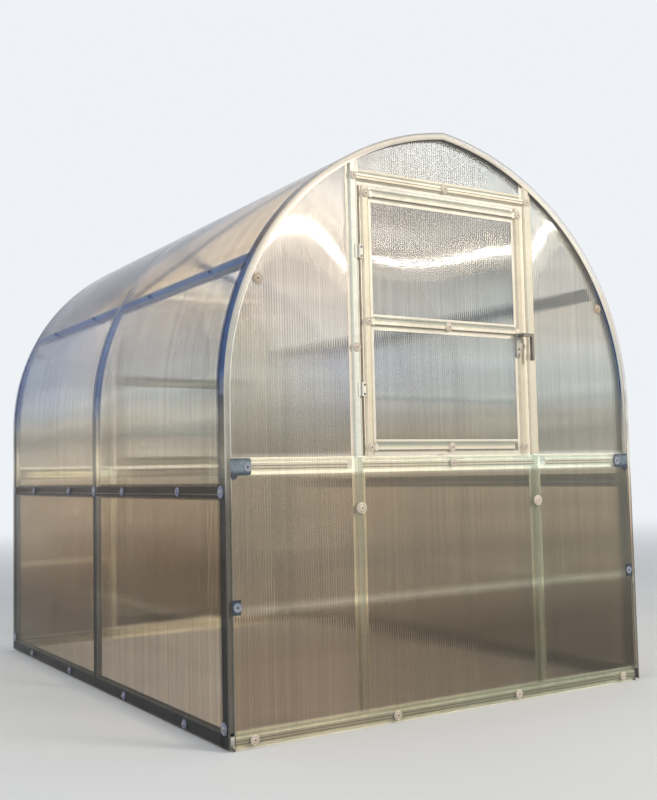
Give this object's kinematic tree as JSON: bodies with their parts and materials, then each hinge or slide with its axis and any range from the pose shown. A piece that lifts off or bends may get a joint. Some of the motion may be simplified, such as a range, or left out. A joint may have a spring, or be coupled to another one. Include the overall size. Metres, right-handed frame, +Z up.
{
  "type": "arched polycarbonate greenhouse",
  "caption": "Arched walk-in greenhouse: galvanised hat-profile frame under bent twin-wall sheet, with a hinged window in one gable and a two-part door in the other.",
  "frame": {"origin": "on the ground under the middle of the house", "axes": "+X across the gables to the right when facing the window gable, +Y along the ridge from the window gable to the door gable, +Z up"},
  "size_m": [2, 2.723, 2.2868],
  "materials": {
    "galvanised_steel": "satin zinc coat",
    "polycarbonate": "clear twin-wall plastic with upright flutes",
    "handle_grey": "satin grey"
  },
  "bodies": {
    "root": {"arch_front": "galvanised_steel", "arch_middle": "galvanised_steel", "arch_rear": "galvanised_steel", "base_rail_front": "galvanised_steel", "base_rail_left": "galvanised_steel", "base_rail_rear": "galvanised_steel", "base_rail_right": "galvanised_steel", "door_frame": "galvanised_steel", "door_handle": "handle_grey", "door_hinge_lower": "galvanised_steel", "door_hinge_upper": "galvanised_steel", "door_pane": "polycarbonate", "front_header": "galvanised_steel", "front_mid_rail_centre": "galvanised_steel", "front_mid_rail_left": "galvanised_steel", "front_mid_rail_right": "galvanised_steel", "front_post_left": "galvanised_steel", "front_post_right": "galvanised_steel", "front_sheet_left": "polycarbonate", "front_sheet_lower": "polycarbonate", "front_sheet_right": "polycarbonate", "front_sheet_top": "polycarbonate", "purlin_left_front": "galvanised_steel", "purlin_left_rear": "galvanised_steel", "purlin_right_front": "galvanised_steel", "purlin_right_rear": "galvanised_steel", "rear_header": "galvanised_steel", "rear_mid_rail_left": "galvanised_steel", "rear_mid_rail_right": "galvanised_steel", "rear_post_left": "galvanised_steel", "rear_post_right": "galvanised_steel", "rear_sheet_left": "polycarbonate", "rear_sheet_right": "polycarbonate", "rear_sheet_top": "polycarbonate", "roof_sheet_front": "polycarbonate", "roof_sheet_rear": "polycarbonate", "side_rail_left_front": "galvanised_steel", "side_rail_left_rear": "galvanised_steel", "side_rail_right_front": "galvanised_steel", "side_rail_right_rear": "galvanised_steel", "upper_door_frame": "galvanised_steel", "upper_door_handle": "handle_grey", "upper_door_hinge_lower": "galvanised_steel", "upper_door_hinge_upper": "galvanised_steel", "upper_door_pane": "polycarbonate", "window_frame": "galvanised_steel", "window_handle": "handle_grey", "window_hinge_lower": "galvanised_steel", "window_hinge_upper": "galvanised_steel", "window_pane": "polycarbonate"}
  },
  "joints": []
}
